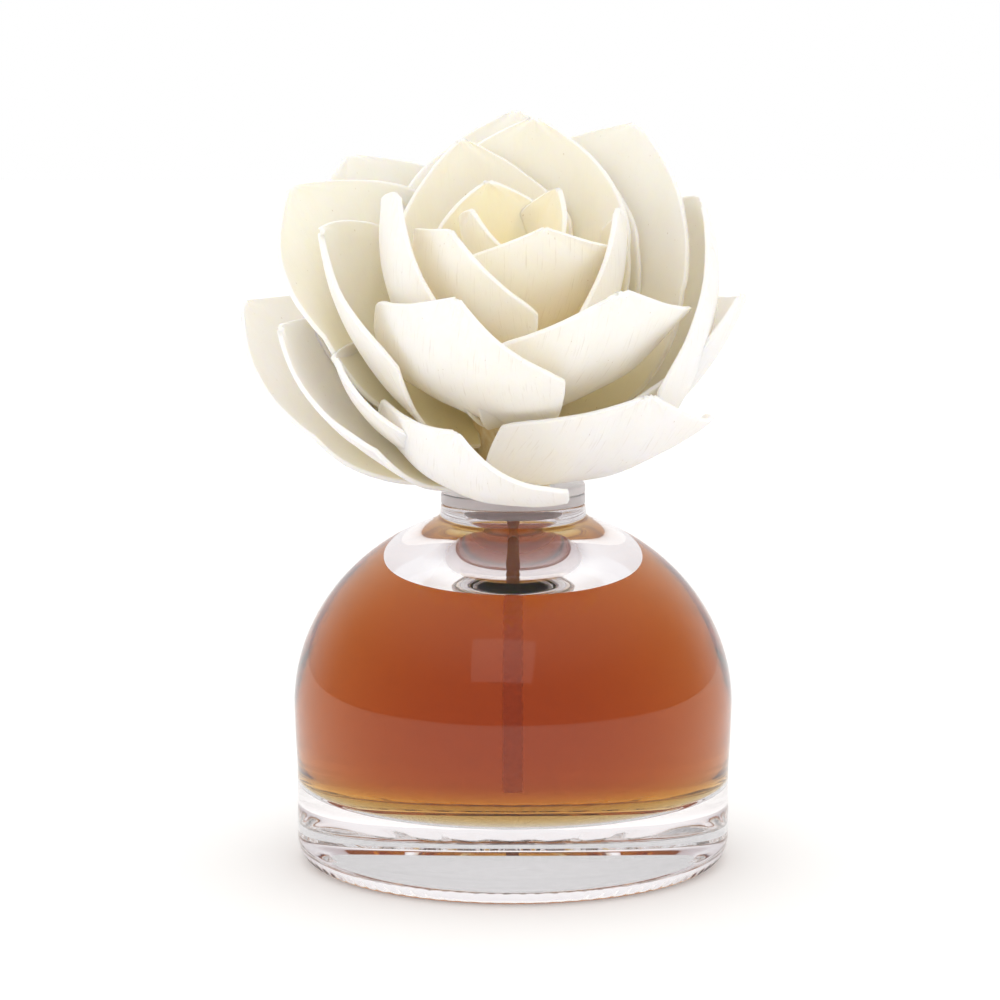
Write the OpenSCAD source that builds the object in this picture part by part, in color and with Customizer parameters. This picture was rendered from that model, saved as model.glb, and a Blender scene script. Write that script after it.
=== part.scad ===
// Home fragrance diffuser: a thick domed glass bottle of scented oil, a two-piece neck stopper, a wick
// and a carved pith-wood flower whose petals draw the oil up and let it evaporate.
// Millimetres. +Z up. The origin is the centre of the bottle's flat base; -Y is the front.

/* [Bottle] */
// Widest diameter of the glass body
body_d = 80.6; // [78:0.2:84]
// Height at which the body is widest and the dome begins
shoulder_z = 29; // [27:0.5:29]
// Rise of the outer dome above the shoulder, as if it closed at the top
dome_rise = 36.4; // [34:0.2:36.6]
// Rise of the cavity's dome above the shoulder; a lower one makes the shoulder glass thicker
cavity_rise = 24; // [23.5:0.5:26]
// Glass thickness of the side wall
wall_t = 5.5; // [3:0.1:7]
// Thickness of the solid glass base
base_t = 12; // [8:0.5:14]
// Radius of the rounded inside corner at the base
inner_corner_r = 9; // [4:0.5:12]
// Radius at which the cavity's dome turns up into the throat below the neck
throat_r = 18; // [16:0.5:18]
// Outside diameter of the neck
neck_d = 26.6; // [26:0.2:28]
// Bore of the neck
neck_bore_d = 19; // [18:0.2:20]
// Height of the neck's rim above the base
rim_z = 65.7; // [65.5:0.1:67]

/* [Oil] */
// Height of the oil's surface above the base
oil_z = 49; // [38:0.5:49]

/* [Stopper] */
// Diameter of the flange and of the disc
flange_d = 26.4; // [24:0.2:27]
// Thickness of the stopper's flange, which sits on the rim
flange_t = 2; // [1.5:0.1:3]
// Depth of the spigot that drops into the neck
spigot_h = 2.5; // [1.5:0.1:4]
// Wall of the hollow spigot
spigot_wall = 1.7; // [1:0.1:3]
// Thickness of the loose disc on top of the flange
disc_t = 1.75; // [1.2:0.05:2.4]

/* [Wick] */
// Wick diameter
wick_d = 2.6; // [2:0.1:3.6]
// Height of the wick's lower end above the base
wick_foot_z = 15; // [13:0.5:30]
// Length of wick held inside the flower's stem
wick_grip = 2; // [1:0.5:6]

/* [Flower] */
// Lean of the flower towards the front, in degrees
flower_lean = 32; // [26:1:34]
// Lean of the flower towards the left, in degrees
flower_side = 3; // [0:1:6]
// Height of the flower's base point above the bottle's base
flower_z = 73; // [72.5:0.1:76]
// Petal thickness
petal_t = 0.8; // [0.6:0.05:1.1]
// How far along a petal its widest corners lie, from 0 to 1
corner_at = 0.62; // [0.56:0.01:0.64]
// Petal width at its root, as a share of its full width
root_share = 0.35; // [0.25:0.01:0.45]
// Petal width at its tip, as a share of its full width
tip_share = 0.05; // [0.02:0.01:0.15]

/* [Hidden] */
$fn = 96;

// Bottle
body_r = body_d / 2;
wall_r = body_r - 0.5;
neck_r = neck_d / 2;
bore_r = neck_bore_d / 2;
cavity_r = body_r - wall_t;
foot_r = body_r - 4;
foot_corner_h = 4.5;
groove_in_r = 22;
groove_out_r = 28;
groove_h = 0.5;
throat_end_z = 58;
wall_low_z = 18;
wall_high_z = 23;
wall_high_r = body_r - 0.2;
rim_round = 0.4;
neck_flare = 1.5;

// Gaps between separate pieces
seat_gap = 0.05;
wick_gap = 0.3;
bore_gap = 0.3;
oil_gap = 0.02;
well_depth = 0.5;
cut = 1;

// Stack on the neck
flange_z = rim_z + flange_t;
disc_z = flange_z + seat_gap;
hole_r = wick_d / 2 + wick_gap;
wick_top_z = flower_z + wick_grip;

// Rings of the flower, from the bud down. Every petal of a ring is cut to the ring's own pattern:
// [root radius, root height, fullness, length, half width, cup angle, colour].
// Radius and height are in the flower's own frame, whose axis leans forward. A fuller ring has rounder tips.
HEART = [3, 27, 1.6, 31, 10, 50, [0.97, 0.93, 0.80]];
BUD = [3, 27, 1.6, 34, 16, 45, [0.97, 0.93, 0.80]];
INNER = [5, 15, 1.4, 50, 20, 40, [0.97, 0.94, 0.84]];
MIDDLE = [6, 10, 2, 52, 22, 50, [0.97, 0.95, 0.87]];
OUTER = [7, 6, 1.8, 58, 26, 45, [0.97, 0.96, 0.90]];
UNDER = [6, 4.5, 1.4, 50, 20, 40, [0.96, 0.95, 0.91]];
LOW = [5, 3.5, 1.4, 52, 21, 45, [0.95, 0.94, 0.91]];

// Petals: [name, ring, azimuth, root lift, tip lift, size, twist, skew].
// Azimuth 0 is the right, 90 the back, 180 the left, 270 the front. Lift is the slope above the ring's plane.
// Size is a share of the ring's pattern.
PETALS = [
    ["petal_bud_1", BUD, 225, 40, 100, 1.1, -10, 0.2],
    ["petal_bud_2", BUD, 300, 50, 90, 1.05, -30, 0],
    ["petal_bud_3", BUD, 100, 60, 90, 0.85, 0, 0],
    ["petal_heart_1", HEART, 215, 80, 90, 1, 0, 0],
    ["petal_heart_2", HEART, 20, 60, 90, 1, 0, 0],
    ["petal_inner_1", INNER, 240, 30, 90, 1.05, -10, 0.4],
    ["petal_inner_2", INNER, 305, 30, 80, 1.05, -20, 0],
    ["petal_inner_3", INNER, 345, 40, 100, 0.95, 0, 0],
    ["petal_inner_4", INNER, 105, 50, 80, 0.9, 0, 0],
    ["petal_inner_5", INNER, 195, 40, 110, 1.05, 0, 0],
    ["petal_mid_1", MIDDLE, 180, 30, 90, 1, 0, 0],
    ["petal_mid_2", MIDDLE, 75, 50, 80, 1, 0, 0],
    ["petal_mid_3", MIDDLE, 155, 30, 70, 1.05, -10, 0],
    ["petal_outer_1", OUTER, 0, 10, 110, 1.1, 0, 0],
    ["petal_outer_2", OUTER, 45, 40, 80, 1, 0, 0],
    ["petal_outer_3", OUTER, 75, 50, 70, 0.95, 0, 0.2],
    ["petal_outer_4", OUTER, 130, 30, 70, 0.95, -10, 0],
    ["petal_under_1", UNDER, 75, 10, 60, 1, -10, 0],
    ["petal_under_2", UNDER, 135, 10, 60, 1, -10, 0],
    ["petal_low_1", LOW, 170, 0, 70, 1.05, -10, 0],
    ["petal_low_2", LOW, 190, 10, 80, 1, -10, 0],
    ["petal_low_3", LOW, 210, 20, 80, 0.9, -10, 0],
    ["petal_low_4", LOW, 245, 10, 80, 1, -20, 0.4],
    ["petal_low_5", LOW, 300, 10, 80, 1, -30, 0.2],
    ["petal_low_6", LOW, 350, 10, 80, 1.05, -20, 0],
    ["petal_low_7", LOW, 40, 0, 60, 0.9, -10, 0],
    ["petal_low_8", LOW, 100, 0, 60, 1, -10, 0]
];

// ---- Bottle ----

// A quarter of an ellipse from its widest point upwards, cut where it narrows to stop_r
function dome(r, z, rise, stop_r, n) =
    let (end = acos(stop_r / r))
    [for (i = [0:n]) [r * cos(end * i / n), z + rise * sin(end * i / n)]];

// Where the cavity's dome has narrowed to r, and its slope there
function dome_z(r) = shoulder_z + cavity_rise * sqrt(1 - pow(r / cavity_r, 2));
function dome_slope(r) = cavity_rise * r / (cavity_r * cavity_r * sqrt(1 - pow(r / cavity_r, 2)));

// The throat, a smooth curve that leaves the dome at its own slope and meets the bore upright
function throat(n) =
    let (corner_z = dome_z(throat_r) + dome_slope(throat_r) * (throat_r - bore_r))
    [for (i = [1:n])
        let (t = i / n, far = (1 - t) * (1 - t), near = 2 * t * (1 - t))
        [far * throat_r + (1 - far) * bore_r,
            far * dome_z(throat_r) + near * corner_z + t * t * throat_end_z]];

// The outer foot corner, from the flat base to the wall
function foot_corner(n) =
    [for (i = [0:n]) [foot_r + (wall_r - foot_r) * sin(90 * i / n), foot_corner_h * (1 - cos(90 * i / n))]];

// The inside corner at the base, drawn in by gap
function inner_corner(gap, n) =
    [for (i = [0:n])
        [cavity_r - gap - inner_corner_r * (1 - sin(90 * i / n)),
            base_t + gap + inner_corner_r * (1 - cos(90 * i / n))]];

// The cavity's profile from its floor's centre to where it narrows to stop_r, drawn in by gap
function cavity(gap, stop_r, n) = concat(
    [[0, base_t + gap]],
    inner_corner(gap, 6),
    dome(cavity_r - gap, shoulder_z, cavity_rise - gap, stop_r, n)
);

// Flat base with a shallow ring groove, as it leaves the mould
function base_profile() = [
    [0, 0],
    [groove_in_r, 0],
    [groove_in_r + groove_h, groove_h],
    [groove_out_r - groove_h, groove_h],
    [groove_out_r, 0]
];

// The neck, from its blend with the dome to the rim
function neck_profile() = [
    [neck_r + 0.6, rim_z - 2.5],
    [neck_r + 0.1, rim_z - 1.8],
    [neck_r, rim_z - 1.2],
    [neck_r, rim_z - rim_round],
    [neck_r - rim_round, rim_z],
    [0, rim_z]
];

module outer_form() {
    rotate_extrude()
        polygon(concat(
            base_profile(),
            foot_corner(5),
            [[wall_r, wall_low_z], [wall_high_r, wall_high_z]],
            dome(body_r, shoulder_z, dome_rise, neck_r + neck_flare, 18),
            neck_profile()
        ));
}

module hollow_form() {
    rotate_extrude()
        polygon(concat(
            cavity(0, throat_r, 16),
            throat(8),
            [[bore_r, rim_z + cut], [0, rim_z + cut]]
        ));
}

module bottle() {
    color([0.86, 0.92, 0.94, 0.35])
        difference() {
            outer_form();
            hollow_form();
        }
}

// ---- Oil ----

// Oil fills the cavity to its level, with a clear hole where the wick hangs
module fragrance_oil() {
    level_share = (oil_z - shoulder_z) / (cavity_rise - oil_gap);
    level_r = (cavity_r - oil_gap) * sqrt(1 - pow(level_share, 2));
    color([0.72, 0.30, 0.10, 0.85])
        difference() {
            rotate_extrude()
                polygon(concat(cavity(oil_gap, level_r, 12), [[0, oil_z]]));
            translate([0, 0, wick_foot_z - well_depth])
                cylinder(h = oil_z, r = hole_r);
        }
}

// ---- Stopper ----

// Flanged plug: the flange rests on the rim and the hollow spigot centres it in the bore
module neck_insert() {
    spigot_r = bore_r - bore_gap;
    spigot_z = rim_z - spigot_h;
    color([0.90, 0.88, 0.88, 0.8])
        difference() {
            union() {
                translate([0, 0, rim_z])
                    cylinder(h = flange_t, r = flange_d / 2);
                translate([0, 0, spigot_z])
                    cylinder(h = spigot_h, r = spigot_r);
            }
            translate([0, 0, spigot_z - cut])
                cylinder(h = spigot_h + flange_t + 2 * cut, r = hole_r);
            translate([0, 0, spigot_z - cut])
                cylinder(h = spigot_h + cut, r = spigot_r - spigot_wall);
        }
}

// Loose disc between the plug and the flower
module stop_disc() {
    color([0.93, 0.92, 0.91, 0.8])
        translate([0, 0, disc_z])
            difference() {
                cylinder(h = disc_t, r = flange_d / 2);
                translate([0, 0, -cut])
                    cylinder(h = disc_t + 2 * cut, r = hole_r);
            }
}

// ---- Wick ----

module wick_rod(top_z, r) {
    translate([0, 0, wick_foot_z])
        cylinder(h = top_z - wick_foot_z, r = r, $fn = 32);
}

// Straight cord from near the base up into the flower's stem
module wick() {
    color([0.50, 0.22, 0.08])
        wick_rod(wick_top_z, wick_d / 2);
}

// ---- Flower ----

// Places the flower's own frame over the neck, leaning forward and to the left
module in_flower() {
    translate([0, 0, flower_z])
        rotate([0, -flower_side, 0])
            rotate([flower_lean, 0, 0])
                children();
}

// Stem profile: rounded underside, belly, then a taper into the bud
function stem_profile() = [
    [0, -0.8], [3.4, -0.8], [6, 0.6], [7, 2.4], [7.4, 6], [7, 11],
    [6, 17], [4.6, 24], [3.4, 30], [2.4, 34], [1.2, 36], [0, 36.4]
];

// Turned pith stem that every petal is glued to, with a socket for the wick
module flower_core() {
    color([0.90, 0.82, 0.62])
        difference() {
            in_flower()
                rotate_extrude()
                    polygon(stem_profile());
            wick_rod(wick_top_z + seat_gap, wick_d / 2 + oil_gap);
        }
}

// Half width of a petal at t along it: widening to the corners, then closing to a blunt tip
function half_width(t, w, full) =
    t < corner_at
    ? w * (root_share + (1 - root_share) * pow(sin(90 * t / corner_at), 0.9))
    : w * (tip_share + (1 - tip_share) * (1 - pow((t - corner_at) / (1 - corner_at), full)));

// A point of a petal: t along it, s across it from -1 to 1, k off its middle surface towards the inside
function petal_point(p, t, s, k) =
    let (
        root_r = p[1][0],
        root_h = p[1][1],
        full = p[1][2],
        azimuth = p[2],
        root_lift = p[3],
        tip_lift = p[4],
        length = p[1][3] * p[5],
        w = p[1][4] * p[5],
        cup = p[1][5],
        turn = p[6] * t,
        skew = p[7] * w * t * t,
        lift = root_lift + (tip_lift - root_lift) * t,
        bend_r = length / ((tip_lift - root_lift) * PI / 180),
        out = root_r + bend_r * (sin(lift) - sin(root_lift)),
        up = root_h - bend_r * (cos(lift) - cos(root_lift)),
        cup_here = cup * (root_share + (1 - root_share) * min(t / corner_at, 1)),
        cup_r = w / (cup_here * PI / 180),
        side = s * half_width(t, w, full) / cup_r * 180 / PI,
        flat_x = cup_r * sin(side),
        flat_y = cup_r * (1 - cos(side)),
        across = flat_x * cos(turn) - flat_y * sin(turn) + skew,
        rise = flat_x * sin(turn) + flat_y * cos(turn),
        tilt = side + turn,
        r = out - rise * sin(lift) - k * cos(tilt) * sin(lift),
        y = across - k * sin(tilt),
        z = up + rise * cos(lift) + k * cos(tilt) * cos(lift)
    )
    [r * cos(azimuth) - y * sin(azimuth), r * sin(azimuth) + y * cos(azimuth), z];

// Grid of a petal: cells along and across, with one row of points on the corners
along = 10;
across = 8;
corner_i = round(corner_at * along);
function t_at(i) = i == corner_i ? corner_at : i / along;
function face_points(p, k) = [
    for (i = [0:along])
        for (j = [0:across])
            petal_point(p, t_at(i), 2 * j / across - 1, k)
];

// Points of the sheet's two skins are numbered row by row: outer() first, then inner()
row = across + 1;
skin = row * (along + 1);
function outer(i, j) = i * row + j;
function inner(i, j) = skin + outer(i, j);

// Two triangles of a four-sided face
function split(a, b, c, d) = [[a, b, c], [a, c, d]];

// Faces of the sheet, wound outwards
PETAL_FACES = [
    for (i = [0:along - 1])
        for (j = [0:across - 1])
            each concat(
                split(outer(i, j), outer(i, j + 1), outer(i + 1, j + 1), outer(i + 1, j)),
                split(inner(i, j), inner(i + 1, j), inner(i + 1, j + 1), inner(i, j + 1))
            ),
    for (i = [0:along - 1])
        each concat(
            split(outer(i, 0), outer(i + 1, 0), inner(i + 1, 0), inner(i, 0)),
            split(outer(i, across), inner(i, across), inner(i + 1, across), outer(i + 1, across))
        ),
    for (j = [0:across - 1])
        each concat(
            split(outer(0, j), inner(0, j), inner(0, j + 1), outer(0, j + 1)),
            split(outer(along, j), outer(along, j + 1), inner(along, j + 1), inner(along, j))
        )
];

// One petal: a thin sheet curved both along and across
module petal(p) {
    color(p[1][6])
        in_flower()
            polyhedron(
                points = concat(face_points(p, -petal_t / 2), face_points(p, petal_t / 2)),
                faces = PETAL_FACES,
                convexity = 6
            );
}

bottle();
fragrance_oil();
neck_insert();
stop_disc();
wick();
flower_core();
for (p = PETALS)
    petal(p);
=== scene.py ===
"""Home fragrance flower diffuser: glass bottle of amber oil, two-piece stopper, wick and pith-wood flower.

Everything is in metres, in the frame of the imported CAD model: +Z up, -Y is the front.
"""

import math

import bpy
import numpy as np
from mathutils import Euler, Matrix, Vector, noise


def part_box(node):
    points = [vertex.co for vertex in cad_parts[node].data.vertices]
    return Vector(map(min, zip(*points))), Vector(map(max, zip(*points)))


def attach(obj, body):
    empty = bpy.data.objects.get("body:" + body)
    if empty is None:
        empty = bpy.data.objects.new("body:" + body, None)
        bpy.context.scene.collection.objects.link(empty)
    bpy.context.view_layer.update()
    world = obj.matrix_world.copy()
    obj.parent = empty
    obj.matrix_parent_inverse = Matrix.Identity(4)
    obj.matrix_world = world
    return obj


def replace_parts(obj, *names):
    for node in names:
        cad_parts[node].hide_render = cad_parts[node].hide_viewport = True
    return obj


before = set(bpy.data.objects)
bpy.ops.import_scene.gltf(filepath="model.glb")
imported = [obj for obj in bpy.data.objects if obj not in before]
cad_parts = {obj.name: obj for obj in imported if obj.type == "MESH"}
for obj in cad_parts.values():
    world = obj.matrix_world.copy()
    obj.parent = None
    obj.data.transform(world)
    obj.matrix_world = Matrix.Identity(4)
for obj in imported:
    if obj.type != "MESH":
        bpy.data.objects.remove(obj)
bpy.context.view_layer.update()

MM = 0.001

# Places read from the CAD model
BOTTLE_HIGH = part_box("bottle")[1]
OIL_LOW, OIL_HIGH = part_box("fragrance_oil")
PLUG_LOW, PLUG_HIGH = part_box("neck_insert")
DISC_LOW, DISC_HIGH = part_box("stop_disc")
WICK_LOW, WICK_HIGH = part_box("wick")

BODY_R = BOTTLE_HIGH.x
RIM_Z = BOTTLE_HIGH.z
FLANGE_R = PLUG_HIGH.x
OIL_Z = OIL_HIGH.z
BASE_T = OIL_LOW.z
CAVITY_R = OIL_HIGH.x + 0.02 * MM

# Bottle sizes the boxes don't give
SHOULDER_Z = 29 * MM
DOME_RISE = 36.4 * MM
WALL_R = BODY_R - 0.5 * MM
NECK_R = 13.3 * MM
BORE_R = 9.5 * MM
CAVITY_RISE = 24 * MM
THROAT_R = 18 * MM
THROAT_END_Z = 58 * MM
INNER_CORNER_R = 9 * MM
FOOT_R = BODY_R - 4 * MM
FOOT_H = 4.5 * MM
LIP_R = 0.6 * MM
WET_GAP = 0.03 * MM
KNURLS = 90
KNURL_DEPTH = 0.35 * MM
KNURL_TOP = 2.2 * MM

# Oil's climb up the glass, and how quickly it dies away from the wall, in millimetres
CLIMB = 0.6 * MM
CLIMB_REACH = 0.9
CLIMB_STEPS = (0.15, 0.35, 0.6, 1, 1.5, 2.2, 3.2, 5)

# Stopper and wick sizes the boxes don't give
WICK_HOLE_R = 1.6 * MM
SPIGOT_R = BORE_R - 0.3 * MM
SPIGOT_BORE_R = 7.5 * MM
BRAID_PITCH = 5.2 * MM
BRAID_STRANDS = 4
BRAID_DEPTH = 0.17 * MM

# The flower's own frame leans towards the front and a little to the left
FLOWER_BASE = Vector((0, 0, WICK_HIGH.z - 2 * MM))
FLOWER_TURN = Euler((0, math.radians(-3), 0)).to_matrix() @ Euler((math.radians(32), 0, 0)).to_matrix()
FLOWER_AXIS = FLOWER_TURN @ Vector((0, 0, 1))


# ---- Materials ----

class Graph:
    """A material's node tree with short calls to add and join nodes."""

    def __init__(self, name):
        self.mat = bpy.data.materials.new(name)
        self.mat.use_nodes = True
        self.tree = self.mat.node_tree
        self.tree.nodes.clear()
        self.out = self.add("ShaderNodeOutputMaterial")

    def add(self, kind, **values):
        """A new node. Values name its properties, or its input sockets with _ for a space."""
        node = self.tree.nodes.new(kind)
        for key, value in values.items():
            if hasattr(node, key):
                setattr(node, key, value)
            else:
                self.put(node.inputs[key.replace("_", " ")], value)
        return node

    def put(self, socket, value):
        """Joins value to the socket if it is an output, or else sets it as a constant."""
        if isinstance(value, bpy.types.NodeSocket):
            self.tree.links.new(value, socket)
        else:
            socket.default_value = value

    def mix(self, factor, a, b, blend="MIX"):
        """A colour between a and b."""
        node = self.add("ShaderNodeMix", data_type="RGBA", blend_type=blend)
        for index, value in ((0, factor), (6, a), (7, b)):
            self.put(node.inputs[index], value)
        return node.outputs[2]

    def math(self, operation, a, b):
        node = self.add("ShaderNodeMath", operation=operation)
        self.put(node.inputs[0], a)
        self.put(node.inputs[1], b)
        return node.outputs[0]

    def ramp(self, value, low, high, out_low=0.0, out_high=1.0):
        """value mapped smoothly from low..high to out_low..out_high."""
        node = self.add("ShaderNodeMapRange", interpolation_type="SMOOTHSTEP")
        for index, number in enumerate((value, low, high, out_low, out_high)):
            self.put(node.inputs[index], number)
        return node.outputs[0]

    def noise(self, coords, scale, detail=3.0, rough=0.5):
        node = self.add("ShaderNodeTexNoise", Vector=coords, Scale=scale, Detail=detail, Roughness=rough)
        return node.outputs[0]

    def scaled(self, coords, scale):
        return self.add("ShaderNodeMapping", Vector=coords, Scale=scale).outputs[0]

    def attribute(self, name):
        return self.add("ShaderNodeAttribute", attribute_name=name).outputs["Fac"]

    def bump(self, height, strength, distance):
        return self.add("ShaderNodeBump", Height=height, Strength=strength, Distance=distance).outputs[0]

    def surface(self, **values):
        shader = self.add("ShaderNodeBsdfPrincipled", **values)
        self.tree.links.new(shader.outputs[0], self.out.inputs[0])
        return self.mat


def object_coords(g):
    return g.add("ShaderNodeTexCoord").outputs["Object"]


def clear_glass(name, ior):
    """Pressed glass: clear, with a very faint surface ripple."""
    g = Graph(name)
    ripple = g.noise(g.scaled(object_coords(g), (60, 60, 45)), 1.0, 1.0)
    return g.surface(
        Base_Color=(0.985, 0.965, 0.975, 1), Roughness=0.0, IOR=ior, Transmission_Weight=1.0,
        Normal=g.bump(ripple, 0.25, 0.3 * MM),
    )


OIL_ABSORB = (0.862, 0.635, 0.02, 1)
OIL_DENSITY = 130.0


def amber_oil(name, ior):
    """Clear oil that takes up blue most, then green, the further light goes through it."""
    g = Graph(name)
    absorb = g.add("ShaderNodeVolumeAbsorption", Color=OIL_ABSORB, Density=OIL_DENSITY)
    g.tree.links.new(absorb.outputs[0], g.out.inputs["Volume"])
    return g.surface(Base_Color=(1, 1, 1, 1), Roughness=0.0, IOR=ior, Transmission_Weight=1.0)


def frosted_plastic(name, colour):
    """Cloudy plastic with a fine matte grain."""
    g = Graph(name)
    coords = object_coords(g)
    grain = g.noise(coords, 2500.0, 2.0)
    cloud = g.noise(coords, 120.0, 3.0)
    tint = g.mix(cloud, colour, tuple(c * 0.93 for c in colour[:3]) + (1,))
    return g.surface(
        Base_Color=tint, Roughness=g.ramp(grain, 0.3, 0.7, 0.28, 0.42), IOR=1.46,
        Transmission_Weight=0.45, Subsurface_Weight=0.3, Subsurface_Radius=(0.004, 0.003, 0.003),
        Normal=g.bump(grain, 0.1, 0.05 * MM),
    )


def soaked_cotton(name, dark, pale, see_through):
    """Cotton cord. Fibres that stand in oil let light through."""
    g = Graph(name)
    fuzz = g.noise(g.scaled(object_coords(g), (1, 1, 0.4)), 1800.0, 4.0)
    return g.surface(Base_Color=g.mix(fuzz, dark, pale), Roughness=g.ramp(fuzz, 0.2, 0.8, 0.35, 0.6),
                     Transmission_Weight=see_through, IOR=1.05,
                     Coat_Weight=0.3, Normal=g.bump(fuzz, 0.4, 0.1 * MM))


def pith(name, inner, root_shade, outer):
    """Shaved pith wood. inner is the inside's colour. The second colour is painted shade: the inside turns a
    deeper gold towards the root, down in the flower's cup. outer is the outside's colour, painted greyer
    than the inside as shade.
    """
    g = Graph(name)
    sheet = g.add("ShaderNodeUVMap", uv_map="sheet").outputs[0]
    side = g.attribute("inside")
    rim = g.attribute("rim")
    along = g.attribute("along")
    fibre = g.noise(g.scaled(sheet, (2600, 110, 1)), 1.0, 4.0, 0.6)
    fine = g.noise(g.scaled(sheet, (5200, 420, 1)), 1.0, 3.0, 0.6)
    cloud = g.noise(g.scaled(sheet, (130, 70, 1)), 1.0, 4.0, 0.55)
    speck = g.noise(g.scaled(sheet, (1500, 900, 1)), 1.0, 2.0, 0.5)
    # Painted shade: the inside face turns deeper gold towards its root, where the cup is in shade, and the
    # outside face takes the greyer outside colour as painted shade.
    inside_with_root_shade = g.mix(g.ramp(along, 0.05, 0.75), root_shade, inner)
    body = g.mix(side, outer, inside_with_root_shade)
    streak = g.math("MULTIPLY", g.ramp(fibre, 0.55, 0.78), g.ramp(side, 0.0, 1.0, 0.40, 0.08))
    body = g.mix(streak, body, (0.60, 0.53, 0.46, 1))
    body = g.mix(g.ramp(cloud, 0.35, 0.75, 0.0, 0.15), body, (0.86, 0.78, 0.62, 1))
    body = g.mix(g.ramp(fine, 0.5, 0.8, 0.0, 0.25), body, (0.98, 0.96, 0.92, 1))
    body = g.mix(g.ramp(speck, 0.70, 0.78, 0.0, 0.35), body, (0.42, 0.27, 0.12, 1))
    body = g.mix(g.math("MULTIPLY", rim, 0.45), body, (0.98, 0.97, 0.94, 1))
    relief = g.math("ADD", fibre, g.math("MULTIPLY", fine, 0.5))
    return g.surface(
        Base_Color=body, Roughness=g.ramp(fine, 0.2, 0.8, 0.62, 0.85),
        Specular_IOR_Level=0.25, Sheen_Weight=0.12, Sheen_Roughness=0.6,
        Subsurface_Weight=0.7, Subsurface_Radius=(1.0, 0.85, 0.55), Subsurface_Scale=1.6 * MM,
        Normal=g.bump(relief, 0.35, 0.12 * MM),
    )


# ---- Mesh helpers ----

def new_object(name, verts, faces, mats, mat_index=None, smooth=True):
    mesh = bpy.data.meshes.new(name)
    mesh.from_pydata([tuple(v) for v in verts], [], faces)
    mesh.validate()
    obj = bpy.data.objects.new(name, mesh)
    bpy.context.scene.collection.objects.link(obj)
    for mat in mats:
        mesh.materials.append(mat)
    if mat_index is not None:
        mesh.polygons.foreach_set("material_index", mat_index)
    mesh.polygons.foreach_set("use_smooth", [smooth] * len(mesh.polygons))
    mesh.update()
    return obj


def lathe(name, profile, mats, bands=None, steps=192):
    """A closed solid turned about Z. profile runs (r, z) outwards-facing: from the axis below, round the
    outside and back to the axis. bands gives the material index of each profile stretch."""
    verts, rings, faces, index = [], [], [], []
    for r, z in profile:
        if r < 1e-7:
            rings.append([len(verts)] * steps)
            verts.append((0, 0, z))
        else:
            rings.append(list(range(len(verts), len(verts) + steps)))
            verts += [(r * math.cos(a), r * math.sin(a), z)
                      for a in (2 * math.pi * k / steps for k in range(steps))]
    for i in range(len(rings) - 1):
        low, high = rings[i], rings[i + 1]
        for k in range(steps):
            n = (k + 1) % steps
            corners = [low[k], low[n], high[n], high[k]]
            face = [c for j, c in enumerate(corners) if c != corners[j - 1]]
            if len(face) > 2:
                faces.append(face)
                index.append(bands[i] if bands else 0)
    return new_object(name, verts, faces, mats, index)


def arc(cr, cz, radius, start, end, count):
    """Points of a circle arc in the (r, z) plane, angles in degrees."""
    return [(cr + radius * math.cos(math.radians(start + (end - start) * i / count)),
             cz + radius * math.sin(math.radians(start + (end - start) * i / count)))
            for i in range(count + 1)]


def dome(r, z, rise, stop_r, count):
    """A quarter ellipse from its widest point up to where it narrows to stop_r."""
    end = math.acos(stop_r / r)
    return [(r * math.cos(end * i / count), z + rise * math.sin(end * i / count)) for i in range(count + 1)]


# ---- Bottle and oil ----

def cavity_wall(gap, top_r, count):
    """The cavity's profile from the middle of its floor up to where the dome narrows to top_r."""
    r = CAVITY_R - gap
    corner = [(r - INNER_CORNER_R * (1 - math.sin(math.radians(7.5 * i))),
               BASE_T + gap + INNER_CORNER_R * (1 - math.cos(math.radians(7.5 * i)))) for i in range(13)]
    return [(0, BASE_T + gap)] + corner + dome(r, SHOULDER_Z, CAVITY_RISE - gap, top_r, count)


def cavity_radius(z, gap=0.0):
    return (CAVITY_R - gap) * math.sqrt(1 - ((z - SHOULDER_Z) / (CAVITY_RISE - gap)) ** 2)


def throat(count):
    """The curve that leaves the cavity's dome at its own slope and meets the bore upright."""
    share = THROAT_R / CAVITY_R
    start_z = SHOULDER_Z + CAVITY_RISE * math.sqrt(1 - share ** 2)
    slope = CAVITY_RISE * share / (CAVITY_R * math.sqrt(1 - share ** 2))
    corner_z = start_z + slope * (THROAT_R - BORE_R)
    points = []
    for t in (i / count for i in range(1, count + 1)):
        far = (1 - t) ** 2
        points.append((far * THROAT_R + (1 - far) * BORE_R,
                       far * start_z + 2 * t * (1 - t) * corner_z + t * t * THROAT_END_Z))
    return points


def knurl_foot(bottle):
    """A ring of small moulded ridges under the foot's rounded edge."""
    for v in bottle.data.vertices:
        r = math.hypot(v.co.x, v.co.y)
        if v.co.z > KNURL_TOP or r < FOOT_R:
            continue
        level = math.sin(math.pi * v.co.z / KNURL_TOP)
        ridge = 0.5 - 0.5 * math.cos(KNURLS * math.atan2(v.co.y, v.co.x))
        cut = KNURL_DEPTH * level * ridge
        v.co.x *= 1 - cut / r
        v.co.y *= 1 - cut / r


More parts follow.
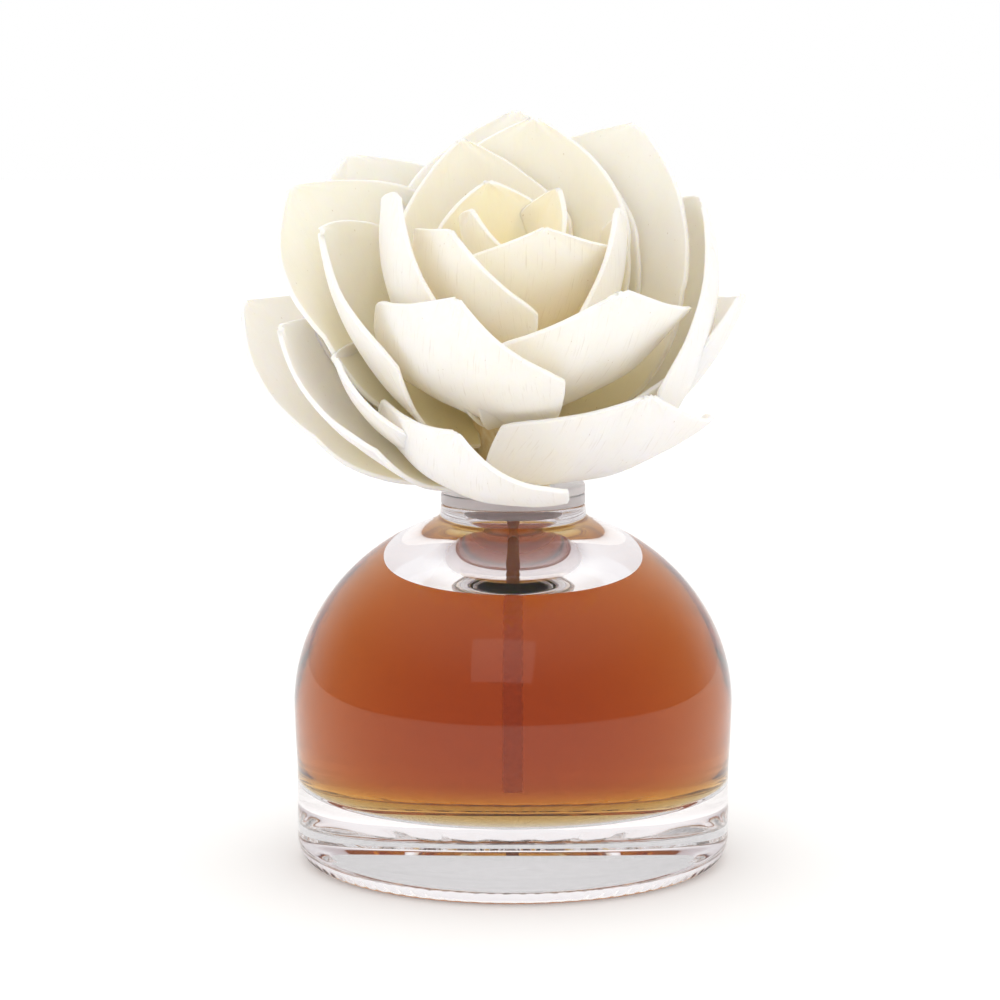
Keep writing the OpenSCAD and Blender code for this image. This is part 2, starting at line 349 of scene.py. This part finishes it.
def make_bottle():
    foot = [(FOOT_R + (WALL_R - FOOT_R) * math.sin(math.radians(6 * i)),
             FOOT_H * (1 - math.cos(math.radians(6 * i)))) for i in range(16)]
    lip = arc(NECK_R - LIP_R, RIM_Z - LIP_R, LIP_R, 0, 90, 6)
    outside = (
        [(0, 0), (22 * MM, 0), (22.4 * MM, 0.5 * MM), (27.6 * MM, 0.5 * MM), (28 * MM, 0)]
        + foot + [(WALL_R, 18 * MM), (BODY_R - 0.2 * MM, 23 * MM)]
        + dome(BODY_R, SHOULDER_Z, DOME_RISE, NECK_R + 1.5 * MM, 48)
        + [(NECK_R + 0.6 * MM, RIM_Z - 2.5 * MM), (NECK_R + 0.1 * MM, RIM_Z - 1.8 * MM)]
        + lip
    )
    wall = cavity_wall(0.0, cavity_radius(OIL_Z), 36)
    upper = [p for p in dome(CAVITY_R, SHOULDER_Z, CAVITY_RISE, THROAT_R, 60) if p[1] > OIL_Z + 1e-5]
    inside = wall + upper + throat(24) + arc(BORE_R + LIP_R, RIM_Z - LIP_R, LIP_R, 180, 90, 6)
    profile = outside + inside[::-1]
    dry = len(profile) - len(wall)
    bands = [0] * dry + [1] * (len(profile) - 1 - dry)
    glass = [clear_glass("clear_glass", 1.5), clear_glass("wet_glass", 1.5 / 1.45)]
    bottle = lathe("glass_bottle", profile, glass, bands, steps=KNURLS * 6)
    knurl_foot(bottle)
    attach(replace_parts(bottle, "bottle"), "bottle")


def make_oil():
    edge_r = cavity_radius(OIL_Z, WET_GAP)
    wall = cavity_wall(WET_GAP, edge_r, 36)
    heights = [OIL_Z + CLIMB * k / 4 for k in range(1, 5)]
    top_wall = [(cavity_radius(z, WET_GAP), z) for z in heights]
    start_r = top_wall[-1][0]
    meniscus = [(start_r - d * MM, OIL_Z + CLIMB * math.exp(-d / CLIMB_REACH)) for d in CLIMB_STEPS]
    profile = wall + top_wall + meniscus + [(10 * MM, OIL_Z), (0, OIL_Z)]
    bands = [0] * (len(wall) + 3) + [1] * (len(profile) - len(wall) - 4)
    oil = lathe("amber_oil", profile, [amber_oil("oil_side", 1.0), amber_oil("oil_top", 1.45)], bands)
    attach(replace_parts(oil, "fragrance_oil"), "bottle")


# ---- Stopper and wick ----

def make_plug():
    top, low = PLUG_HIGH.z, PLUG_LOW.z
    edge = 0.35 * MM
    chamfer = 0.2 * MM
    profile = (
        [(WICK_HOLE_R, RIM_Z), (SPIGOT_BORE_R - chamfer, RIM_Z), (SPIGOT_BORE_R, RIM_Z - chamfer)]
        + [(SPIGOT_BORE_R, low), (SPIGOT_R - chamfer, low), (SPIGOT_R, low + 0.3 * MM)]
        + [(SPIGOT_R, RIM_Z), (SPIGOT_R + 0.1 * MM, RIM_Z)]
        + arc(FLANGE_R - edge, RIM_Z + edge, edge, -90, 0, 5)
        + arc(FLANGE_R - edge, top - edge, edge, 0, 90, 5)
        + [(WICK_HOLE_R + chamfer, top), (WICK_HOLE_R, top - chamfer), (WICK_HOLE_R, RIM_Z)]
    )
    plug = lathe("frosted_plug", profile, [frosted_plastic("frosted_plug", (0.90, 0.84, 0.85, 1))])
    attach(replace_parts(plug, "neck_insert"), "plug")


def make_disc():
    low, top = DISC_LOW.z, DISC_HIGH.z
    edge = 0.4 * MM
    chamfer = 0.2 * MM
    profile = (
        [(WICK_HOLE_R, low)]
        + arc(FLANGE_R - edge, low + edge, edge, -90, 0, 5)
        + arc(FLANGE_R - edge, top - edge, edge, 0, 90, 5)
        + [(WICK_HOLE_R + chamfer, top), (WICK_HOLE_R, top - chamfer), (WICK_HOLE_R, low)]
    )
    disc = lathe("frosted_disc", profile, [frosted_plastic("frosted_disc", (0.93, 0.90, 0.90, 1))])
    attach(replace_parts(disc, "stop_disc"), "disc")


def make_wick():
    """A braided round cord: two sets of strands cross over and under each other."""
    around, radius = 48, WICK_HIGH.x
    length = WICK_HIGH.z - WICK_LOW.z
    rows = int(length / (0.18 * MM))
    verts, faces = [], []
    for i in range(rows + 1):
        z = length * i / rows
        for k in range(around):
            a = 2 * math.pi * k / around
            left = BRAID_STRANDS * (a + 2 * math.pi * z / BRAID_PITCH)
            right = BRAID_STRANDS * (a - 2 * math.pi * z / BRAID_PITCH)
            over = 0.5 + 0.5 * math.sin((left + right) / 2) * math.cos((left - right) / 2)
            h = over * abs(math.cos(left / 2)) + (1 - over) * abs(math.cos(right / 2))
            r = radius - BRAID_DEPTH * (1 - h)
            verts.append((r * math.cos(a), r * math.sin(a), WICK_LOW.z + z))
    for i in range(rows):
        for k in range(around):
            n = (k + 1) % around
            faces.append([i * around + k, i * around + n, (i + 1) * around + n, (i + 1) * around + k])
    for row, flip in ((0, True), (rows, False)):
        ring = [row * around + k for k in range(around)]
        verts.append((0, 0, WICK_LOW.z + length * row / rows))
        tip = len(verts) - 1
        for k in range(around):
            face = [ring[k], ring[(k + 1) % around], tip]
            faces.append(face[::-1] if flip else face)
    browned = soaked_cotton("browned_cotton", (0.30, 0.085, 0.018, 1), (0.52, 0.19, 0.05, 1), 0.0)
    steeped = soaked_cotton("steeped_cotton", (0.90, 0.72, 0.46, 1), (0.97, 0.84, 0.60, 1), 0.85)
    in_oil = [1 if max(verts[v][2] for v in face) < OIL_Z else 0 for face in faces]
    wick = new_object("braided_wick", verts, faces, [browned, steeped], in_oil)
    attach(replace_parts(wick, "wick"), "flower")


# ---- Flower ----

# A CAD petal is a grid of ALONG by ACROSS cells whose widest row is CORNER_ROW
ALONG, ACROSS = 10, 8
CORNER_ROW = 6
# Triangles that meet at less than this angle lie on the same face
SAME_FACE = math.cos(math.radians(55))
# Each cell is divided by FINE, and one more row lies EDGE_STEP of a cell in from the rim
FINE = 4
EDGE_STEP = 0.12


def welded(node):
    """A CAD node's distinct points and its triangles."""
    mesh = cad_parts[node].data
    points, ids, seen = [], [], {}
    for v in mesh.vertices:
        key = tuple(round(c * 1e6) for c in v.co)
        if key not in seen:
            seen[key] = len(points)
            points.append(v.co.copy())
        ids.append(seen[key])
    return points, [tuple(ids[i] for i in p.vertices) for p in mesh.polygons]


def skins(points, tris):
    """The two smooth faces of a sheet, as lists of triangles: its parts bounded by sharp edges."""
    normals = [(points[b] - points[a]).cross(points[c] - points[a]).normalized() for a, b, c in tris]
    by_edge = {}
    for t, tri in enumerate(tris):
        for i in range(3):
            by_edge.setdefault(frozenset((tri[i], tri[i - 1])), []).append(t)
    part = [None] * len(tris)
    parts = []
    for start in range(len(tris)):
        if part[start] is not None:
            continue
        part[start] = len(parts)
        stack, found = [start], []
        while stack:
            t = stack.pop()
            found.append(t)
            for i in range(3):
                for other in by_edge[frozenset((tris[t][i], tris[t][i - 1]))]:
                    if part[other] is None and normals[t].dot(normals[other]) > SAME_FACE:
                        part[other] = part[start]
                        stack.append(other)
        parts.append(found)
    parts.sort(key=len)
    return [[tris[t] for t in found] for found in parts[-2:]]


def as_grid(points, tris):
    """The points of one face of a petal as a grid [along][across], root row first."""
    count, edges = {}, {}
    for tri in tris:
        for i in range(3):
            count[tri[i]] = count.get(tri[i], 0) + 1
            edge = frozenset((tri[i], tri[i - 1]))
            edges[edge] = edges.get(edge, 0) + 1
    border = {}
    for edge, uses in edges.items():
        if uses == 1:
            a, b = edge
            border.setdefault(a, []).append(b)
            border.setdefault(b, []).append(a)
    corners = [v for v in border if count[v] < 3]
    loop = [corners[0], border[corners[0]][0]]
    while len(loop) < len(border):
        a, b = border[loop[-1]]
        loop.append(b if a == loop[-2] else a)
    at = [i for i, v in enumerate(loop) if v in corners] + [len(loop)]
    sides = [(loop + loop[:1])[at[i]:at[i + 1] + 1] for i in range(4)]
    ends = [s for s in sides if len(s) == ACROSS + 1]
    root = min(ends, key=lambda s: sum((points[v] - FLOWER_BASE).length for v in s))
    first = sides.index(root)
    sides = sides[first:] + sides[:first]
    place = {}
    for k, side in enumerate(sides):
        for i, v in enumerate(side):
            place[v] = ((0, i), (i, ACROSS), (ALONG, ACROSS - i), (ALONG - i, 0))[k]
    inner = [v for v in count if v not in place]
    row = {v: i for i, v in enumerate(inner)}
    near = {v: set() for v in inner}
    for edge in edges:
        a, b = edge
        if a in near:
            near[a].add(b)
        if b in near:
            near[b].add(a)
    matrix = np.zeros((len(inner), len(inner)))
    right = np.zeros((len(inner), 2))
    for v in inner:
        matrix[row[v], row[v]] = len(near[v])
        for other in near[v]:
            if other in row:
                matrix[row[v], row[other]] -= 1
            else:
                right[row[v]] += place[other]
    solved = np.rint(np.linalg.solve(matrix, right)).astype(int)
    grid = np.zeros((ALONG + 1, ACROSS + 1, 3))
    for v, (i, j) in list(place.items()) + [(v, solved[row[v]]) for v in inner]:
        grid[i, j] = points[v]
    return grid


def spread(first, last, count, at):
    """Weights that read a row of count points at the places at, along a smooth curve through first..last."""
    weights = np.zeros((len(at), count))
    for k, x in enumerate(at):
        i = min(int(x), last - 1)
        f = x - i
        curve = (-0.5 * f + f * f - 0.5 * f ** 3, 1 - 2.5 * f * f + 1.5 * f ** 3,
                 0.5 * f + 2 * f * f - 1.5 * f ** 3, 0.5 * (f ** 3 - f * f))
        for near, weight in zip(range(i - 1, i + 3), curve):
            if near < first:
                beyond = ((first, 3), (first + 1, -3), (first + 2, 1))
            elif near > last:
                beyond = ((last, 3), (last - 1, -3), (last - 2, 1))
            else:
                beyond = ((near, 1),)
            for at_point, share in beyond:
                weights[k, at_point] += weight * share
    return weights


def fine_places(cells):
    """Places along a row of cells: FINE to a cell, with one more close to each end."""
    inside = [i / FINE for i in range(1, cells * FINE)]
    return np.array([0, EDGE_STEP] + inside + [cells - EDGE_STEP, cells])


def smooth_noise(x, y, seed):
    return noise.noise(Vector((x, y, 7.3 * seed)))


def make_petal(node, number, mat):
    """A finer, slightly waved and dented sheet along the CAD petal's middle surface."""
    points, tris = welded(node)
    one, two = (as_grid(points, s) for s in skins(points, tris))
    if np.linalg.norm(one[0, 0] - two[0, 0]) > np.linalg.norm(one[0, 0] - two[0, -1]):
        two = two[:, ::-1]
    middle = (one + two) / 2
    offset = (two - one) / 2
    centre = Vector(middle.reshape(-1, 3).mean(0)) - FLOWER_BASE
    radial = centre - FLOWER_AXIS * centre.dot(FLOWER_AXIS)
    inward = np.array(FLOWER_AXIS - radial.normalized())
    if (offset.reshape(-1, 3) @ inward).mean() < 0:
        offset = -offset
    places = fine_places(ALONG)
    lengthwise = np.concatenate([
        spread(0, CORNER_ROW, ALONG + 1, places[places < CORNER_ROW]),
        spread(CORNER_ROW, ALONG, ALONG + 1, places[places >= CORNER_ROW]),
    ])
    crosswise = spread(0, ACROSS, ACROSS + 1, fine_places(ACROSS))
    middle = np.einsum("ai,ijk,bj->abk", lengthwise, middle, crosswise)
    offset = np.einsum("ai,ijk,bj->abk", lengthwise, offset, crosswise)
    normal = offset / np.linalg.norm(offset, axis=2, keepdims=True)
    rows, cols = middle.shape[:2]
    t = fine_places(ALONG) / ALONG
    s = fine_places(ACROSS) / ACROSS * 2 - 1
    half = np.zeros((rows, cols))
    for i in range(rows):
        for j in range(cols):
            edge = max(abs(s[j]) ** 4, t[i] ** 8)
            wave = smooth_noise(t[i] * 5, s[j] * 2, number) * 0.45 * MM * edge * t[i]
            dent = smooth_noise(t[i] * 3 + 9, s[j] * 2.5, number + 40) * 0.5 * MM * math.sin(math.pi * t[i])
            middle[i, j] += normal[i, j] * (wave + dent)
            half[i, j] = (0.42 + 0.08 * smooth_noise(t[i] * 9, s[j] * 6, number + 80)) * MM
    build_sheet(node, number, middle, normal, half, t, s, mat)


BEVEL = 0.16 * MM


def outward(middle, i, j):
    """The direction at rim point i, j away from the nearest point inside the rim."""
    rows, cols = middle.shape[:2]
    out = middle[i, j] - middle[min(max(i, 1), rows - 2), min(max(j, 1), cols - 2)]
    return out / np.linalg.norm(out)


def build_sheet(node, number, middle, normal, half, t, s, mat):
    """A closed sheet round a grid of middle points, with worn cut edges."""
    rows, cols = middle.shape[:2]
    rim = ([(0, j) for j in range(cols)] + [(i, cols - 1) for i in range(1, rows)]
           + [(rows - 1, j) for j in range(cols - 2, -1, -1)] + [(i, 0) for i in range(rows - 2, 0, -1)])
    for k, (i, j) in enumerate(rim):
        out = outward(middle, i, j)
        nick = max(0, smooth_noise(k * 0.55, 3.1, number + 120) - 0.15) * 0.35 * MM
        middle[i, j] -= out * nick
    skin = rows * cols
    grid = [(i, j) for i in range(rows) for j in range(cols)]
    verts = [middle[i, j] - normal[i, j] * half[i, j] for i, j in grid]
    verts += [middle[i, j] + normal[i, j] * half[i, j] for i, j in grid]
    for sign in (-1, 1):
        for i, j in rim:
            out = outward(middle, i, j)
            verts.append(middle[i, j] + out * BEVEL + normal[i, j] * sign * (half[i, j] - BEVEL))
    faces = []
    for i in range(rows - 1):
        for j in range(cols - 1):
            a, b, c, d = i * cols + j, i * cols + j + 1, (i + 1) * cols + j + 1, (i + 1) * cols + j
            faces.append([a, b, c, d])
            faces.append([skin + d, skin + c, skin + b, skin + a])
    # Bevelled strips round the rim join the two skins
    count = len(rim)
    flat = [i * cols + j for i, j in rim]
    strips = [flat, list(range(2 * skin, 2 * skin + count)),
              list(range(2 * skin + count, 2 * skin + 2 * count)), [skin + v for v in flat]]
    for low, high in zip(strips, strips[1:]):
        for k in range(count):
            n = (k + 1) % count
            faces.append([low[n], low[k], high[k], high[n]])
    obj = new_object(node + "_pith", verts, faces, [mat])
    mesh = obj.data
    # Wind the faces outwards
    a, b, c = (np.array(verts[v]) for v in faces[0][:3])
    if np.dot(np.cross(b - a, c - a), normal[0, 0]) > 0:
        mesh.flip_normals()
    lay_uv(mesh, grid, rim, skin, cols, t, s, middle)
    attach(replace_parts(obj, node), "flower")


def lay_uv(mesh, grid, rim, skin, cols, t, s, middle):
    """Metres across and along the petal as a UV map, and the shares inside, rim and along as attributes."""
    length = np.concatenate([[0], np.cumsum(np.linalg.norm(np.diff(middle[:, cols // 2], axis=0), axis=1))])
    width = np.array([np.linalg.norm(np.diff(row, axis=0), axis=1).sum() / 2 for row in middle])
    cells = grid + grid + rim + rim
    inside = np.concatenate([np.zeros(skin), np.ones(skin), np.zeros(len(rim)), np.ones(len(rim))])
    on_rim = set(rim)
    u = np.array([s[j] * width[i] for i, j in cells])
    v = np.array([length[i] for i, j in cells])
    edge = np.array([1.0 if (i, j) in on_rim else 0.0 for i, j in cells])
    for name, values in (("inside", inside), ("rim", edge), ("along", np.array([t[i] for i, j in cells]))):
        mesh.attributes.new(name, "FLOAT", "POINT").data.foreach_set("value", values.astype(np.float32))
    corner = np.zeros(len(mesh.loops), np.int32)
    mesh.loops.foreach_get("vertex_index", corner)
    layer = mesh.uv_layers.new(name="sheet")
    layer.data.foreach_set("uv", np.stack([u[corner], v[corner]], 1).astype(np.float32).ravel())


def make_core():
    """The turned stem, in millimetres along its own axis, with faint grooves."""
    outline = [(0, -0.8), (3.4, -0.8), (6, 0.6), (7, 2.4), (7.4, 6), (7, 11), (6, 17), (4.6, 24), (3.4, 30),
               (2.4, 34), (1.2, 36), (0, 36.4)]
    profile = []
    for (r0, z0), (r1, z1) in zip(outline, outline[1:]):
        profile += [((r0 + (r1 - r0) * k / 4) * MM, (z0 + (z1 - z0) * k / 4) * MM) for k in range(4)]
    profile.append((0, outline[-1][1] * MM))
    core = lathe("pith_core", profile, [pith_core()], steps=96)
    for v in core.data.vertices:
        r = math.hypot(v.co.x, v.co.y)
        if r > 1e-6:
            a = math.atan2(v.co.y, v.co.x)
            groove = 0.25 * MM * noise.noise(Vector((math.cos(a) * 5, math.sin(a) * 5, v.co.z * 60)))
            v.co.x *= 1 + groove / r
            v.co.y *= 1 + groove / r
    core.data.transform(Matrix.Translation(FLOWER_BASE) @ FLOWER_TURN.to_4x4())
    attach(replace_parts(core, "flower_core"), "flower")


def pith_core():
    g = Graph("pith_core")
    coords = object_coords(g)
    fibre = g.noise(g.scaled(coords, (1200, 1200, 150)), 1.0, 4.0)
    colour = g.mix(g.ramp(fibre, 0.3, 0.75), (0.80, 0.66, 0.40, 1), (0.92, 0.84, 0.64, 1))
    return g.surface(Base_Color=colour, Roughness=g.ramp(fibre, 0.2, 0.8, 0.7, 0.9),
                     Normal=g.bump(fibre, 0.4, 0.15 * MM))


# Inside, root and outside colours for each group of petals. They are one pith with painted light and shade:
# groups deeper in the flower get a more golden inside and root, and the low petals a greyer outside.
PITH = {
    "bud": ((0.99, 0.945, 0.80, 1), (0.98, 0.84, 0.48, 1), (0.94, 0.91, 0.86, 1)),
    "inner": ((0.995, 0.955, 0.85, 1), (0.99, 0.88, 0.58, 1), (0.92, 0.90, 0.87, 1)),
    "outer": ((0.995, 0.965, 0.89, 1), (0.99, 0.90, 0.68, 1), (0.91, 0.89, 0.875, 1)),
    "low": ((0.995, 0.97, 0.91, 1), (0.99, 0.90, 0.68, 1), (0.90, 0.88, 0.87, 1)),
}
# The colour set, and so the painted shade, that each petal group takes.
SHADE_SET_OF = {"bud": "bud", "heart": "bud", "inner": "inner", "mid": "inner",
             "outer": "outer", "under": "outer", "low": "low"}


def make_flower():
    mats = {name: pith("pith_" + name, *colours) for name, colours in PITH.items()}
    petals = sorted(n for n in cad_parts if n.startswith("petal_"))
    for number, node in enumerate(petals):
        shade_set = SHADE_SET_OF[node.split("_")[1]]
        make_petal(node, number, mats[shade_set])


# ---- Stage ----

def make_stage():
    g = Graph("pale_floor")
    paper = g.noise(object_coords(g), 900.0, 2.0)
    white = g.mix(paper, (0.84, 0.84, 0.84, 1), (0.88, 0.88, 0.88, 1))
    floor_mat = g.surface(Base_Color=white, Roughness=0.9,
                          Emission_Color=(1, 1, 1, 1), Emission_Strength=0.22)
    corners = [(-6, -6, 0), (6, -6, 0), (6, 6, 0), (-6, 6, 0)]
    floor = new_object("floor", corners, [[0, 1, 2, 3]], [floor_mat])


def make_world():
    """A white studio, even on matte surfaces. Glass sees it darker in front, which shows its edges."""
    world = bpy.data.worlds.new("studio")
    bpy.context.scene.world = world
    world.use_nodes = True
    tree = world.node_tree
    tree.nodes.clear()
    add, link = tree.nodes.new, tree.links.new
    out = add("ShaderNodeOutputWorld")
    coords = add("ShaderNodeTexCoord")
    parts = add("ShaderNodeSeparateXYZ")
    link(coords.outputs["Generated"], parts.inputs[0])

    def band(source, low, high, out_low, out_high):
        node = add("ShaderNodeMapRange")
        node.interpolation_type = "SMOOTHSTEP"
        link(source, node.inputs[0])
        for i, value in enumerate((low, high, out_low, out_high)):
            node.inputs[i + 1].default_value = value
        return node.outputs[0]

    back = band(parts.outputs[1], 0.25, 0.85, 0.0, 0.75)
    top = band(parts.outputs[2], 0.35, 0.9, 0.0, 0.6)
    total = add("ShaderNodeMath")
    link(back, total.inputs[0])
    link(top, total.inputs[1])
    tone = add("ShaderNodeMix")
    tone.data_type = "RGBA"
    tone.clamp_factor = True
    link(total.outputs[0], tone.inputs[0])
    tone.inputs[6].default_value = (0.50, 0.45, 0.48, 1)
    tone.inputs[7].default_value = (1.1, 1.1, 1.1, 1)
    lit = add("ShaderNodeBackground")
    link(tone.outputs[2], lit.inputs[0])
    seen = add("ShaderNodeBackground")
    seen.inputs[0].default_value = (1, 1, 1, 1)
    path = add("ShaderNodeLightPath")
    even = add("ShaderNodeBackground")
    even.inputs[0].default_value = (1.08, 1.065, 1.04, 1)
    soft = add("ShaderNodeMixShader")
    link(path.outputs["Is Glossy Ray"], soft.inputs[0])
    link(even.outputs[0], soft.inputs[1])
    link(lit.outputs[0], soft.inputs[2])
    choose = add("ShaderNodeMixShader")
    link(path.outputs["Is Camera Ray"], choose.inputs[0])
    link(soft.outputs[0], choose.inputs[1])
    link(seen.outputs[0], choose.inputs[2])
    link(choose.outputs[0], out.inputs[0])


def area_light(name, place, target, size, power, colour=(1, 1, 1)):
    data = bpy.data.lights.new(name, "AREA")
    data.shape = "RECTANGLE"
    data.size, data.size_y = size
    data.energy = power
    data.color = colour
    light = bpy.data.objects.new(name, data)
    bpy.context.scene.collection.objects.link(light)
    light.location = place
    light.rotation_euler = (Vector(target) - Vector(place)).to_track_quat("-Z", "Y").to_euler()


def make_lights():
    area_light("key", (-0.12, -1.0, 0.85), (0, 0, 0.09), (0.7, 0.6), 0.7)


def make_camera():
    data = bpy.data.cameras.new("camera")
    data.sensor_width = 36
    data.lens = 111
    camera = bpy.data.objects.new("camera", data)
    bpy.context.scene.collection.objects.link(camera)
    camera.location = (-0.0024, -0.560, 0.136)
    camera.rotation_euler = (math.radians(90 - 7.1), 0, 0)
    data.clip_start = 0.01
    bpy.context.scene.camera = camera


def set_light_paths():
    """Enough bounces for light to cross the nested glass and oil, and to pass from petal to petal."""
    cycles = bpy.context.scene.cycles
    cycles.max_bounces = 40
    cycles.transmission_bounces = 40
    cycles.glossy_bounces = 16
    cycles.diffuse_bounces = 10
    cycles.transparent_max_bounces = 16


bpy.context.scene.view_settings.view_transform = "Standard"
set_light_paths()
make_camera()
make_stage()
make_world()
make_lights()
make_bottle()
make_oil()
make_plug()
make_disc()
make_wick()
make_core()
make_flower()
